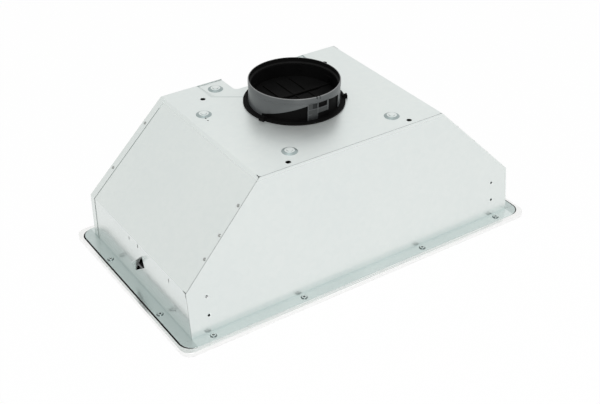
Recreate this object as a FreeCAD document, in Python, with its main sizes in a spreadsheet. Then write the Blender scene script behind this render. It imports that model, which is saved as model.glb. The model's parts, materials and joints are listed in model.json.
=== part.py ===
import FreeCAD, Part
import math
import os
import re

import Sketcher
from FreeCAD import Vector

# Range hood insert. +Z is up, the visible long panel faces -Y, and the origin is the middle of the underside.
# Lengths are millimetres, angles are degrees.

DIMENSIONS = {
    # housing
    "body_width": 740,
    "body_depth": 387,
    "wall_height": 93,
    "body_height": 259,
    "top_width": 408,
    "front_lean": 35,
    "metal": 0.8,
    "outer_bend": 2.4,
    "inner_bend": 1.6,
    "flange": 22,
    "flange_corner": 26,
    "side_gap": 3,
    "return_depth": 12,
    "lap_depth": 16,
    # formed features of the flange and the top
    "boss_radius": 6.5,
    "boss_height": 2.2,
    "boss_taper": 40,
    "boss_hole": 2.4,
    "boss_front_x": 333,
    "boss_inner_x": 140,
    "boss_side_y": 100,
    "boss_front_reach": 10.5,
    "boss_side_reach": 13,
    "dome_radius": 15,
    "dome_height": 2.6,
    "dome_taper": 65,
    "dome_button": 6.5,
    "top_hole": 5.2,
    "top_hole_front_x": 135.4,
    "top_hole_front_y": -144.3,
    "top_hole_back_x": 143,
    "top_hole_back_y": 139.6,
    "wall_hole": 2.0,
    "dimple_radius": 5.0,
    "relief_width": 1.8,
    "relief_depth": 9,
    "wall_hole_x": 331,
    "wall_hole_low": 34,
    "wall_hole_high": 72,
    # notch and pocket behind the collar
    "notch_half": 70,
    "notch_depth": 53,
    "notch_drop": 50,
    "notch_corner": 10,
    "sunk_half": 130,
    "sunk_depth": 90,
    "sunk_drop": 1.6,
    "gland_x": -22,
    "gland_drop": 28,
    # trim
    "trim_height": 9.2,
    "trim_reach": 8,
    "trim_corner": 20,
    "ledge": 26,
    "border": 48,
    "face_height": 5.2,
    # collar and damper
    "collar_y": 37.8,
    "collar_radius": 88.6,
    "collar_wall": 2.4,
    "collar_step": 38.5,
    "collar_bead": 92.5,
    "collar_relief": 0.65,
    "block_sunk": 0.6,
    "collar_height": 49,
    "collar_disc": 98.3,
    "collar_disc_height": 2.5,
    "collar_hole": 86,
    "inner_radius": 85.4,
    "inner_wall": 2.4,
    "inner_height": 35.9,
    "inner_skirt": 0.7,
    "pin_height": 13,
    "pin_radius": 1.5,
    "pin_play": 0.06,
    "flap_radius": 81.4,
    "flap_thickness": 1.6,
    "knuckle_radius": 3,
    # blower
    "wheel_y": 0,
    "wheel_z": 126,
    "wheel_radius": 70,
    "wheel_inner": 56,
    "wheel_half": 50,
    "blade_count": 36,
    "scroll_half": 62,
    "scroll_start": 76,
    "scroll_end": 97,
    "scroll_tongue": 115,
    "outlet_front": -21,
    "inlet_radius": 62,
    "shaft_radius": 4,
    "shaft_play": 0.05,
    "motor_radius": 38,
    "motor_near": 8,
    "motor_far": 66,
    # filters
    "filter_gap": 9,
    "filter_outer": 345,
    "filter_front": -100,
    "filter_back": 172,
    "filter_play": 1.5,
    "filter_hook": 3.4,
    "filter_low": 3,
    "filter_high": 19,
    "frame_rim": 16,
    "baffle_pitch": 36,
    "baffle_width": 24,
    "latch_width": 44,
    # controls and lamps
    "strip_y": -143,
    "control_half": 92,
    "control_depth": 13,
    "button_pitch": 32,
    "button_half": 9,
    "button_depth": 7,
    "button_travel": 2.5,
    "lamp_x": 262,
    "lamp_radius": 32,
    "lamp_bezel": 37,
    "lamp_depth": 26,
}

doc = FreeCAD.newDocument("range_hood_insert")
sheet = doc.addObject("Spreadsheet::Sheet", "Dims")
for row, (alias, amount) in enumerate(DIMENSIONS.items(), start=1):
    sheet.set(f"A{row}", alias)
    sheet.set(f"B{row}", str(amount))
    sheet.setAlias(f"B{row}", alias)
doc.recompute()

nodes = {}

# heights and half sizes that many pieces share, as expressions of the sheet
FLANGE_TOP = "(trim_height + metal)"
KNEE = f"({FLANGE_TOP} + wall_height)"
TOP = f"({FLANGE_TOP} + body_height)"
HALF_W = "body_width / 2"
HALF_D = "body_depth / 2"
HALF_TOP = "top_width / 2"
TRIM_HALF_X = f"({HALF_W} + flange + trim_reach)"
TRIM_HALF_Y = f"({HALF_D} + flange + trim_reach)"
# how far an offset sheet line moves along its neighbour at a 45 degree bend
BEND_SHIFT = "tan(22.5 deg)"


# ---------------------------------------------------------------- helpers

def bound(text):
    """Expression text with every driving dimension written as a cell of the sheet."""
    return re.sub(r"[a-z_]+", lambda word: "Dims." + word[0] if word[0] in DIMENSIONS else word[0], str(text))


def size(text):
    return float(sheet.evalExpression(bound(text)))


def keep(name, piece):
    piece.Label = name
    nodes[name] = piece
    return piece


def near(a, b):
    return abs(a - b) < 0.02


def new_body(name):
    return doc.addObject("PartDesign::Body", name + "_body")


def new_sketch(body, name, role, height="0"):
    sketch = body.newObject("Sketcher::SketchObject", name)
    plane = next(item for item in body.Origin.OriginFeatures if item.Role == role)
    sketch.AttachmentSupport = (plane, [""])
    sketch.MapMode = "FlatFace"
    sketch.setExpression(".AttachmentOffset.Base.z", bound(height))
    return sketch


def tie(sketch, kind, curve, spot, text):
    """Hold one coordinate of a point of a curve at an expression of the sheet."""
    index = sketch.addConstraint(Sketcher.Constraint(kind, -1, 1, curve, spot, size(text)))
    name = f"{kind}_{index}"
    sketch.renameConstraint(index, name)
    sketch.setExpression("Constraints." + name, bound(text))


def add_outline(sketch, corners):
    first = sketch.GeometryCount
    points = [Vector(size(x), size(y), 0) for x, y in corners]
    count = len(points)
    for k in range(count):
        sketch.addGeometry(Part.LineSegment(points[k], points[(k + 1) % count]), False)
    for k in range(count):
        sketch.addConstraint(Sketcher.Constraint("Coincident", first + k, 2, first + (k + 1) % count, 1))
    for k, (x, y) in enumerate(corners):
        tie(sketch, "DistanceX", first + k, 1, x)
        tie(sketch, "DistanceY", first + k, 1, y)


def add_rectangle(sketch, x0, x1, y0, y1):
    add_outline(sketch, [(x0, y0), (x1, y0), (x1, y1), (x0, y1)])


def add_circle(sketch, x, y, radius):
    centre = Vector(size(x), size(y), 0)
    index = sketch.addGeometry(Part.Circle(centre, Vector(0, 0, 1), size(radius)), False)
    tie(sketch, "DistanceX", index, 3, x)
    tie(sketch, "DistanceY", index, 3, y)
    rule = sketch.addConstraint(Sketcher.Constraint("Radius", index, size(radius)))
    sketch.renameConstraint(rule, f"Radius_{rule}")
    sketch.setExpression(f"Constraints.Radius_{rule}", bound(radius))


def mirrored(corners):
    return [(f"-({x})", y) for x, y in corners]


def pad(body, name, sketch, length, symmetric=False, taper="0"):
    feature = body.newObject("PartDesign::Pad", name)
    feature.Profile = sketch
    feature.setExpression("Length", bound(length))
    feature.setExpression("TaperAngle", bound(taper))
    feature.SideType = "Symmetric" if symmetric else "One side"
    doc.recompute()
    return feature


def pocket(body, name, sketch, length, symmetric=False, reverse=False, taper="0"):
    """Cut the sketch out of the body, and stop if nothing was removed."""
    before = body.Shape.Volume
    feature = body.newObject("PartDesign::Pocket", name)
    feature.Profile = sketch
    feature.setExpression("Length", bound(length))
    feature.setExpression("TaperAngle", bound(taper))
    feature.SideType = "Symmetric" if symmetric else "One side"
    feature.Reversed = reverse
    doc.recompute()
    if not body.Shape.Volume < before - 1e-6:
        raise RuntimeError(f"{body.Name}: {name} removes nothing")
    return feature


def fillet(body, name, radius, **place):
    """Round the edges whose middle has the given coordinates."""
    base = body.Tip
    chosen = []
    for index, edge in enumerate(base.Shape.Edges, start=1):
        middle = edge.CenterOfMass
        if all(near(getattr(middle, axis), size(text)) for axis, text in place.items()):
            chosen.append(f"Edge{index}")
    if not chosen:
        raise RuntimeError(f"{body.Name}: {name} finds no edge at {place}")
    feature = body.newObject("PartDesign::Fillet", name)
    feature.Base = (base, chosen)
    feature.setExpression("Radius", bound(radius))
    doc.recompute()
    return feature


def box(name, x0, x1, y0, y1, z0, z1):
    piece = doc.addObject("Part::Box", name)
    for side, low, high in (("Length", x0, x1), ("Width", y0, y1), ("Height", z0, z1)):
        piece.setExpression(side, bound(f"({high}) - ({low})"))
    for axis, low in (("x", x0), ("y", y0), ("z", z0)):
        piece.setExpression(".Placement.Base." + axis, bound(low))
    return piece


def cylinder(name, radius, length, x, y, z, along="Z"):
    piece = doc.addObject("Part::Cylinder", name)
    piece.setExpression("Radius", bound(radius))
    piece.setExpression("Height", bound(length))
    turn = {"X": FreeCAD.Rotation(0, 90, 0), "Y": FreeCAD.Rotation(0, 0, -90), "Z": FreeCAD.Rotation()}[along]
    piece.Placement = FreeCAD.Placement(Vector(), turn)
    for axis, text in (("x", x), ("y", y), ("z", z)):
        piece.setExpression(".Placement.Base." + axis, bound(text))
    return piece


def cut(name, base, tool):
    piece = doc.addObject("Part::Cut", name)
    piece.Base = base
    piece.Tool = tool
    return piece


def joined(name, pieces):
    piece = doc.addObject("Part::MultiFuse", name)
    piece.Shapes = pieces
    return piece


def feature_of(name, shape):
    piece = doc.addObject("Part::Feature", name)
    placement = shape.Placement
    piece.Shape = shape
    piece.Placement = placement
    return piece


def keep_shape(name, shape):
    return keep(name, feature_of(name, shape))


def turned_ring(profile, centre, axis):
    """Solid of revolution: the profile's (radius, height) corners swept about an axis through the centre."""
    sideways = Vector(0, 1, 0) if abs(axis.y) < 0.5 else Vector(0, 0, 1)
    points = [centre + sideways * radius + axis * height for radius, height in profile]
    face = Part.Face(Part.makePolygon(points + points[:1]))
    return face.revolve(centre, axis, 360)


def rounded_block(half_x, half_y, radius, low, high):
    """Upright block centred on the origin, with rounded vertical edges."""
    block = Part.makeBox(2 * half_x, 2 * half_y, high - low, Vector(-half_x, -half_y, low))
    upright = [edge for edge in block.Edges if abs(edge.Vertexes[0].Z - edge.Vertexes[1].Z) > 0.1]
    return block.makeFillet(radius, upright)


def sector(inner, outer, start, stop, low, high):
    """Part of a ring about the collar's axis, between two angles and two heights over the top."""
    foot = Vector(0, size("collar_y"), size(TOP) + low)
    up = Vector(0, 0, 1)
    span = stop - start
    ring = Part.makeCylinder(outer, high - low, foot, up, span)
    ring = ring.cut(Part.makeCylinder(inner, 3 * (high - low), foot - up * (high - low), up))
    ring.rotate(foot, up, start)
    return ring


# ---------------------------------------------------------------- places that several pieces share

def flange_boss_places(side_wall):
    """Plan positions of the screw bosses on the long flange (front) or on the side flange (left)."""
    if side_wall:
        return [(f"{HALF_W} + boss_side_reach", f"{sign}boss_side_y") for sign in ("", "-")]
    return [(f"{sign}{name}", f"{HALF_D} + boss_front_reach")
            for name in ("boss_front_x", "boss_inner_x") for sign in ("", "-")]


def rivets(radius, low, high):
    """Cylinders square to the slopes where the returns and laps are fastened, as one compound."""
    slant = math.sqrt(0.5)
    front = -size(HALF_D)
    lean = size("front_lean") / size("body_height")
    rows = [(up, front + lean * (size("wall_height") + up * slant) + 7.0) for up in (66.0, 114.0, 174.0)]
    rows += [(up, size(HALF_D) - 8.0) for up in (69.0, 175.0)]
    pins = []
    for side in (-1, 1):
        outward = Vector(side * slant, 0, slant)
        for up, y in rows:
            x = side * (size(HALF_W) - up * slant)
            foot = Vector(x, y, size(KNEE) + up * slant)
            lift = size("metal") if y > 0 else 0.0
            pins.append(Part.makeCylinder(radius, high - low, foot + outward * (low + lift), outward))
    return pins


def add_bosses(body, places, base_height):
    """Raised screw bosses: a tapered lift of the sheet, hollow below, with a hole."""
    lift = new_sketch(body, "boss_lift_sketch", "XY_Plane", base_height)
    for x, y in places:
        add_circle(lift, x, y, "boss_radius")
    pad(body, "boss_lift", lift, "boss_height", taper="-boss_taper")
    hollow = new_sketch(body, "boss_hollow_sketch", "XY_Plane", f"{base_height} - metal")
    for x, y in places:
        add_circle(hollow, x, y, "boss_radius - metal")
    pocket(body, "boss_hollow", hollow, "boss_height", reverse=True, taper="-boss_taper")
    hole = new_sketch(body, "boss_hole_sketch", "XY_Plane", f"{base_height} + boss_height + 1")
    for x, y in places:
        add_circle(hole, x, y, "boss_hole")
    pocket(body, "boss_hole", hole, "boss_height + metal + 2")


def add_domes(body, places, base_height):
    """Shallow formed domes with a raised button in the middle, hollow below."""
    lift = new_sketch(body, "dome_sketch", "XY_Plane", base_height)
    for x, y in places:
        add_circle(lift, x, y, "dome_radius")
    pad(body, "dome", lift, "dome_height", taper="-dome_taper")
    hollow = new_sketch(body, "dome_hollow_sketch", "XY_Plane", f"{base_height} - metal")
    for x, y in places:
        add_circle(hollow, x, y, "dome_radius - 2 * metal")
    pocket(body, "dome_hollow", hollow, "dome_height", reverse=True, taper="-dome_taper")
    button = new_sketch(body, "button_sketch", "XY_Plane", f"{base_height} + dome_height - metal")
    for x, y in places:
        add_circle(button, x, y, "dome_button")
    pad(body, "dome_button", button, "2 * metal", taper="-30")


# ---------------------------------------------------------------- trim

def make_trim_pan():
    body = new_body("trim_pan")
    block = new_sketch(body, "block_sketch", "XY_Plane")
    add_rectangle(block, f"-{TRIM_HALF_X}", TRIM_HALF_X, f"-{TRIM_HALF_Y}", TRIM_HALF_Y)
    pad(body, "block", block, "trim_height")
    for x in (f"-{TRIM_HALF_X}", TRIM_HALF_X):
        for y in (f"-{TRIM_HALF_Y}", TRIM_HALF_Y):
            fillet(body, "trim_corner", "trim_corner", x=x, y=y)
    cavity = new_sketch(body, "cavity_sketch", "XY_Plane", "metal")
    inner_x = f"({TRIM_HALF_X} - metal)"
    inner_y = f"({TRIM_HALF_Y} - metal)"
    cut_corner = "(trim_corner - metal) * (1 - sqrt(0.5)) * 2"
    add_outline(cavity, [(f"{sx}({inner_x} - {dx})", f"{sy}({inner_y} - {dy})")
                         for sx, sy, dx, dy in (("-", "-", cut_corner, "0"), ("", "-", cut_corner, "0"),
                                                ("", "-", "0", cut_corner), ("", "", "0", cut_corner),
                                                ("", "", cut_corner, "0"), ("-", "", cut_corner, "0"),
                                                ("-", "", "0", cut_corner), ("-", "-", "0", cut_corner))])
    pocket(body, "cavity", cavity, "trim_height - 2 * metal", reverse=True)
    mouth = new_sketch(body, "mouth_sketch", "XY_Plane", "trim_height + 1")
    mouth_x = f"({TRIM_HALF_X} - ledge)"
    mouth_y = f"({TRIM_HALF_Y} - ledge)"
    add_rectangle(mouth, f"-{mouth_x}", mouth_x, f"-{mouth_y}", mouth_y)
    pocket(body, "mouth", mouth, "metal + 2")
    step = new_sketch(body, "step_sketch", "XY_Plane")
    step_x = f"({TRIM_HALF_X} - border)"
    step_y = f"({TRIM_HALF_Y} - border + 6)"
    add_rectangle(step, f"-{step_x}", step_x, f"-{step_y}", step_y)
    pad(body, "step", step, "face_height + metal")
    under = new_sketch(body, "under_sketch", "XY_Plane", "-1")
    add_rectangle(under, f"-({step_x} - metal)", f"{step_x} - metal",
                  f"-({step_y} - metal)", f"{step_y} - metal")
    pocket(body, "under", under, "face_height + 1", reverse=True)
    openings = new_sketch(body, "openings_sketch", "XY_Plane", "face_height + metal + 1")
    add_rectangle(openings, "filter_gap", "filter_outer", "filter_front", "filter_back")
    add_rectangle(openings, "-filter_outer", "-filter_gap", "filter_front", "filter_back")
    add_rectangle(openings, "-control_half", "control_half",
                  "strip_y - control_depth", "strip_y + control_depth")
    add_circle(openings, "lamp_x", "strip_y", "lamp_radius + 1")
    add_circle(openings, "-lamp_x", "strip_y", "lamp_radius + 1")
    pocket(body, "openings", openings, "metal + 2")
    screws = new_sketch(body, "screw_hole_sketch", "XY_Plane", "trim_height + 1")
    for x, y in flange_boss_places(False) + flange_boss_places(True):
        add_circle(screws, x, y, "boss_hole + 0.6")
        add_circle(screws, f"-({x})", f"-({y})", "boss_hole + 0.6")
    pocket(body, "screw_holes", screws, "metal + 2")
    # the ledge stops short of the side flanges, which leaves a narrow gap that tapers out round the corners
    across = size(f"{HALF_W} + flange")
    along = size(f"{HALF_D} + flange")
    radius = size("flange_corner")
    outer = rounded_block(across + size("side_gap"), along - 0.02, radius, size("trim_height") - 2, 12)
    inner = rounded_block(across, along, radius, size("trim_height") - 3, 13)
    gap = feature_of("side_gaps", outer.cut(inner))
    keep("trim_pan", cut("trim_pan", body, gap))


# ---------------------------------------------------------------- housing

def wrap_profile():
    """Section of the bent wrap across the hood: outside from left to right, then back along the inside."""
    outside = [(f"{HALF_W} + flange", FLANGE_TOP), (HALF_W, FLANGE_TOP), (HALF_W, KNEE), (HALF_TOP, TOP)]
    inside = [(f"{HALF_TOP} - metal * {BEND_SHIFT}", f"{TOP} - metal"),
              (f"{HALF_W} - metal", f"{KNEE} - metal * {BEND_SHIFT}"),
              (f"{HALF_W} - metal", f"{FLANGE_TOP} - metal"),
              (f"{HALF_W} + flange", f"{FLANGE_TOP} - metal")]
    return mirrored(outside) + outside[::-1] + inside[::-1] + mirrored(inside)


def cut_lean(body, name, behind, keep_behind=True):
    """Cut the body along a plane parallel to the leaning front, a given distance behind it."""
    rise = f"({TOP} + 10)"
    run = f"front_lean * ({rise} - {FLANGE_TOP}) / body_height"
    drop = f"front_lean * {FLANGE_TOP} / body_height"
    low_y = f"-({HALF_D}) + {behind} - {drop}"
    high_y = f"-({HALF_D}) + {behind} + {run}"
    far = f"-({HALF_D}) - flange - 60" if keep_behind else HALF_D
    sketch = new_sketch(body, name + "_sketch", "YZ_Plane")
    add_outline(sketch, [(low_y, "-0.01"), (high_y, rise), (far, rise), (far, "-0.01")])
    return pocket(body, name, sketch, "2 * body_width", symmetric=True)


def make_tab(side):
    """Triangular tongue lanced out of a side wall and bent square to it."""
    x = side * size(HALF_W)
    base = size(FLANGE_TOP)
    apex = Vector(x, -14.4, base + 71.1)
    heel = Vector(x, 16.5, base + 21.1)
    corner = Vector(x, -22.9, base + 50.3)
    along = (heel - apex).normalize()
    foot = apex + along * (corner - apex).dot(along)
    outward = Vector(side, 0, 0)
    tip = foot + outward * (corner - foot).Length
    face = Part.Face(Part.makePolygon([apex, heel, tip, apex]))
    return face.extrude((foot - corner).normalize() * size("metal"))


def make_reliefs(half, low_arm, high_arm):
    """Slits round the bends at the leaning front edge: one along each bend, and one each way beside it."""
    lean = size("front_lean") / size("body_height")
    width = size("relief_width")
    depth = size("relief_depth")
    slope = 90 - math.degrees(math.atan2(size("body_height - wall_height"), size(f"{HALF_W} - {HALF_TOP}")))
    reliefs = []
    for side in (-1, 1):
        for x, rise, lower, upper in ((size(HALF_W), size("wall_height"), 0.0, -slope),
                                      (size(HALF_TOP), size("body_height"), -slope, -90.0)):
            edge_y = -size(HALF_D) + lean * rise + size("metal") + 0.2
            bend = Vector(side * x, edge_y, size(FLANGE_TOP) + rise)
            reliefs.append(Part.makeBox(2 * half, depth, 2 * half, bend - Vector(half, 0, half)))
            for angle, start, reach in ((lower, -low_arm, low_arm), (upper, 0.0, high_arm)):
                if reach > 0:
                    arm = Part.makeBox(4, width, reach, bend + Vector(-2, 0, start))
                    arm.rotate(bend, Vector(0, 1, 0), -side * angle)
                    reliefs.append(arm)
    return reliefs


def make_housing_wrap():
    body = new_body("housing_wrap")
    profile = new_sketch(body, "profile_sketch", "XZ_Plane")
    add_outline(profile, wrap_profile())
    pad(body, "bent_sheet", profile, "body_depth - 2 * metal", symmetric=True)
    knee_in = f"{KNEE} - metal * {BEND_SHIFT}"
    top_in = f"{HALF_TOP} - metal * {BEND_SHIFT}"
    for sign in ("-", ""):
        fillet(body, "knee_outside", "outer_bend", x=f"{sign}{HALF_W}", z=KNEE)
        fillet(body, "top_outside", "outer_bend", x=f"{sign}{HALF_TOP}", z=TOP)
        fillet(body, "knee_inside", "inner_bend", x=f"{sign}({HALF_W} - metal)", z=knee_in)
        fillet(body, "top_inside", "inner_bend", x=f"{sign}({top_in})", z=f"{TOP} - metal")
    cut_lean(body, "front_cut", "metal + 0.5")

    # shallow step sunk into the top round the notch
    sink = new_sketch(body, "sink_sketch", "XY_Plane", f"{TOP} - metal - sunk_drop")
    sunk_y = f"{HALF_D} - metal - sunk_depth"
    sunk = [("-notch_half - 4", sunk_y), ("notch_half + 4", sunk_y),
            ("sunk_half - 8", f"{sunk_y} + 32"), ("sunk_half", f"{HALF_D} - metal"),
            ("-sunk_half", f"{HALF_D} - metal"), ("-sunk_half + 8", f"{sunk_y} + 32")]
    add_outline(sink, sunk)
    pad(body, "sunk_floor", sink, "sunk_drop")
    clear = new_sketch(body, "clear_sketch", "XY_Plane", TOP)
    inset = [("-notch_half - 1", f"{sunk_y} + 4"), ("notch_half + 1", f"{sunk_y} + 4"),
             ("sunk_half - 11", f"{sunk_y} + 35"), ("sunk_half - 4", f"{HALF_D} + 1"),
             ("-sunk_half + 4", f"{HALF_D} + 1"), ("-sunk_half + 11", f"{sunk_y} + 35")]
    add_outline(clear, inset)
    pocket(body, "sunk_area", clear, "sunk_drop", taper="-55")

    add_domes(body, [("-172", "86"), ("-113", "-115"), ("118", "-114")], TOP)
    add_domes(body, [("-100", "165")], f"({TOP} - sunk_drop)")

    # holes through the top: duct, mounting holes and the notch
    holes = new_sketch(body, "top_holes_sketch", "XY_Plane", f"{TOP} + 5")
    add_circle(holes, "0", "collar_y", "collar_hole")
    for sign in ("-", ""):
        add_circle(holes, f"{sign}top_hole_front_x", "top_hole_front_y", "top_hole")
        add_circle(holes, f"{sign}top_hole_back_x", "top_hole_back_y", "top_hole")
    for x, y in (("-176.5", "71"), ("-177", "62")):
        add_circle(holes, x, y, "1.6")
    pocket(body, "top_holes", holes, "12")
    notch = new_sketch(body, "notch_sketch", "XY_Plane", f"{TOP} + 5")
    add_rectangle(notch, "-notch_half", "notch_half", f"{HALF_D} - notch_depth", f"{HALF_D} + 1")
    pocket(body, "notch", notch, "12")
    for sign in ("-", ""):
        fillet(body, "notch_corner", "notch_corner", x=f"{sign}notch_half", y=f"{HALF_D} - notch_depth")

    # pierced marks and the tab opening in both side walls
    for side, start in ((-1, f"-({HALF_W}) + 3"), (1, f"{HALF_W} + 3")):
        wall = new_sketch(body, "wall_openings_sketch", "YZ_Plane", start)
        add_outline(wall, [("-14.4", f"{FLANGE_TOP} + 71.1"), ("16.5", f"{FLANGE_TOP} + 21.1"),
                           ("-22.9", f"{FLANGE_TOP} + 50.3")])
        for y, z in (("33", "80"), ("-1", "82"), ("-118", "78")):
            add_rectangle(wall, f"{y} - 1.2", f"{y} + 1.2", f"{FLANGE_TOP} + {z}", f"{FLANGE_TOP} + {z} + 8")
        add_circle(wall, "-137", f"{FLANGE_TOP} + 27", "wall_hole")
        pocket(body, "wall_openings", wall, "6")

    right = flange_boss_places(True)
    add_bosses(body, right + mirrored(right), FLANGE_TOP)

    tabs = [feature_of("wrap_tab", make_tab(side)) for side in (-1, 1)]
    whole = joined("wrap_with_tabs", [body] + tabs)
    openings = rivets(1.7, -3, 3) + make_reliefs(1.1, 10, 5)
    drill = feature_of("wrap_rivet_holes", Part.makeCompound(openings))
    keep("housing_wrap", cut("housing_wrap", whole, drill))


def inner_band(depth_sheets):
    """Outline of the hood's section, a number of sheet thicknesses inside the wrap's outer faces."""
    shift = f"{depth_sheets} * metal"
    return [(f"{HALF_W} - {shift}", FLANGE_TOP),
            (f"{HALF_W} - {shift}", f"{KNEE} - {shift} * {BEND_SHIFT}"),
            (f"{HALF_TOP} - {shift} * {BEND_SHIFT}", f"{TOP} - {shift}")]


def beyond_corners():
    """What lies outside the flange's rounded corners."""
    across = size(f"{HALF_W} + flange")
    along = size(f"{HALF_D} + flange")
    radius = size("flange_corner")
    inside = rounded_block(across, along, radius, 5, 15)
    pieces = []
    for x in (-across, across - radius):
        for y in (-along, along - radius):
            square = Part.makeBox(radius, radius, 4, Vector(x, y, 8))
            pieces.append(square.cut(inside))
    return pieces


def make_dimples():
    """Countersinks in the leaning plate, two above each other near both ends."""
    lean = size("front_lean") / size("body_height")
    inward = Vector(0, 1, -lean).normalize()
    wide = size("dimple_radius")
    hole = size("wall_hole")
    dimples = []
    for x in (-size("wall_hole_x"), size("wall_hole_x")):
        for rise in (size("wall_hole_low"), size("wall_hole_high")):
            place = Vector(x, -size(HALF_D) + lean * rise, size(FLANGE_TOP) + rise) - inward * 0.1
            dimples.append(Part.makeCone(wide, hole, size("metal") + 0.2, place, inward))
    return dimples


def make_front_panel():
    body = new_body("front_panel")
    # returns that tuck inside the wrap, padded first and trimmed to the lean
    band = new_sketch(body, "return_sketch", "XZ_Plane", f"{HALF_D} + metal")
    outer = inner_band("1.3")
    inner = inner_band("2.3")
    add_outline(band, mirrored(outer) + outer[::-1] + inner + mirrored(inner)[::-1])
    feature = pad(body, "returns", band, "front_lean + return_depth + 10")
    feature.Reversed = True
    doc.recompute()
    cut_lean(body, "return_front", "0")
    cut_lean(body, "return_back", "return_depth", keep_behind=False)
    # leaning plate and the flange below it
    plate = new_sketch(body, "plate_sketch", "YZ_Plane")
    add_outline(plate, [(f"-({HALF_D}) - flange", FLANGE_TOP), (f"-({HALF_D})", FLANGE_TOP),
                        (f"-({HALF_D}) + front_lean", TOP), (f"-({HALF_D}) + front_lean + metal", TOP),
                        (f"-({HALF_D}) + metal", f"{FLANGE_TOP} - metal"),
                        (f"-({HALF_D}) - flange", f"{FLANGE_TOP} - metal")])
    pad(body, "plate", plate, "body_width + 2 * flange", symmetric=True)
    sides = new_sketch(body, "sides_sketch", "XZ_Plane")
    beyond = [(f"{HALF_W}", FLANGE_TOP), (f"{HALF_W} + flange + 1", FLANGE_TOP),
              (f"{HALF_W} + flange + 1", f"{TOP} + 1"), (f"{HALF_TOP} - 1", f"{TOP} + 1"), (HALF_W, KNEE)]
    add_outline(sides, beyond)
    add_outline(sides, mirrored(beyond))
    pocket(body, "sides", sides, "2 * body_depth", symmetric=True)
    add_bosses(body, [(x, f"-({y})") for x, y in flange_boss_places(False)], FLANGE_TOP)
    openings = rivets(1.7, -3, 3) + make_dimples() + beyond_corners() + make_reliefs(4.0, 0, 0)
    drill = feature_of("front_rivet_holes", Part.makeCompound(openings))
    keep("front_panel", cut("front_panel", body, drill))


def make_back_panel():
    body = new_body("back_panel")
    plate = new_sketch(body, "plate_sketch", "YZ_Plane")
    add_outline(plate, [(f"{HALF_D} + flange", FLANGE_TOP), (HALF_D, FLANGE_TOP), (HALF_D, TOP),
                        (f"{HALF_D} - metal", TOP), (f"{HALF_D} - metal", f"{FLANGE_TOP} - metal"),
                        (f"{HALF_D} + flange", f"{FLANGE_TOP} - metal")])
    pad(body, "plate", plate, "body_width + 2 * flange", symmetric=True)
    # the plate stands one sheet past the wrap, so that its laps lie outside
    knee_out = f"{KNEE} + metal * {BEND_SHIFT}"
    sides = new_sketch(body, "sides_sketch", "XZ_Plane")
    beyond = [(f"{HALF_W} + metal", FLANGE_TOP), (f"{HALF_W} + flange + 1", FLANGE_TOP),
              (f"{HALF_W} + flange + 1", f"{TOP} + 2"), (f"{HALF_TOP} + metal * sqrt(2) - 2", f"{TOP} + 2"),
              (f"{HALF_W} + metal", knee_out)]
    add_outline(sides, beyond)
    add_outline(sides, mirrored(beyond))
    pocket(body, "sides", sides, "2 * body_depth", symmetric=True)
    laps = new_sketch(body, "lap_sketch", "XZ_Plane", f"-({HALF_D})")
    lap = [(f"{HALF_W} + 0.05", FLANGE_TOP), (f"{HALF_W} + metal", FLANGE_TOP),
           (f"{HALF_W} + metal", knee_out), (f"{HALF_TOP} + metal * sqrt(2)", TOP),
           (f"{HALF_TOP} + 0.07", TOP), (f"{HALF_W} + 0.05", f"{KNEE} + 0.02")]
    add_outline(laps, lap)
    add_outline(laps, mirrored(lap))
    pad(body, "laps", laps, "lap_depth")
    notch = new_sketch(body, "notch_sketch", "XZ_Plane", f"-({HALF_D}) - 5")
    add_rectangle(notch, "-notch_half", "notch_half", f"{TOP} - notch_drop", f"{TOP} + 5")
    pocket(body, "notch", notch, "12", reverse=True)
    add_bosses(body, flange_boss_places(False), FLANGE_TOP)
    drill = feature_of("back_rivet_holes", Part.makeCompound(rivets(1.7, -3, 3) + beyond_corners()))
    keep("back_panel", cut("back_panel", body, drill))


def make_slope_rivets():
    """Dome-headed rivets along the sloped edges, shank and head in one."""
    shanks = rivets(1.6, -2.2, 0.0)
    heads = rivets(3.0, 0.05, 0.75)
    tops = rivets(1.9, 0.7, 1.15)
    shapes = [shank.fuse([head, top]).removeSplitter() for shank, head, top in zip(shanks, heads, tops)]
    keep_shape("slope_rivets", Part.makeCompound(shapes))


def make_back_recess():
    """Folded pocket that closes the notch: floor, front wall and two side walls."""
    gap = 0.1
    half = f"(notch_half - {gap})"
    front = f"({HALF_D} - notch_depth + {gap})"
    low = f"({TOP} - notch_drop + {gap})"
    high = f"({TOP} - metal - sunk_drop - 0.05)"
    block = box("recess_block", f"-{half}", half, front, f"{HALF_D} - metal", low, high)
    hollow = box("recess_hollow", f"-{half} + metal", f"{half} - metal", f"{front} + metal",
                 f"{HALF_D} + 5", f"{low} + metal", f"{TOP} + 5")
    shell = cut("recess_shell", block, hollow)
    hole = cylinder("recess_gland_hole", "9.1", "10", "gland_x", f"{front} - 5", f"{TOP} - gland_drop", "Y")
    keep("back_recess", cut("back_recess", shell, hole))


# ---------------------------------------------------------------- collar and damper

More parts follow.
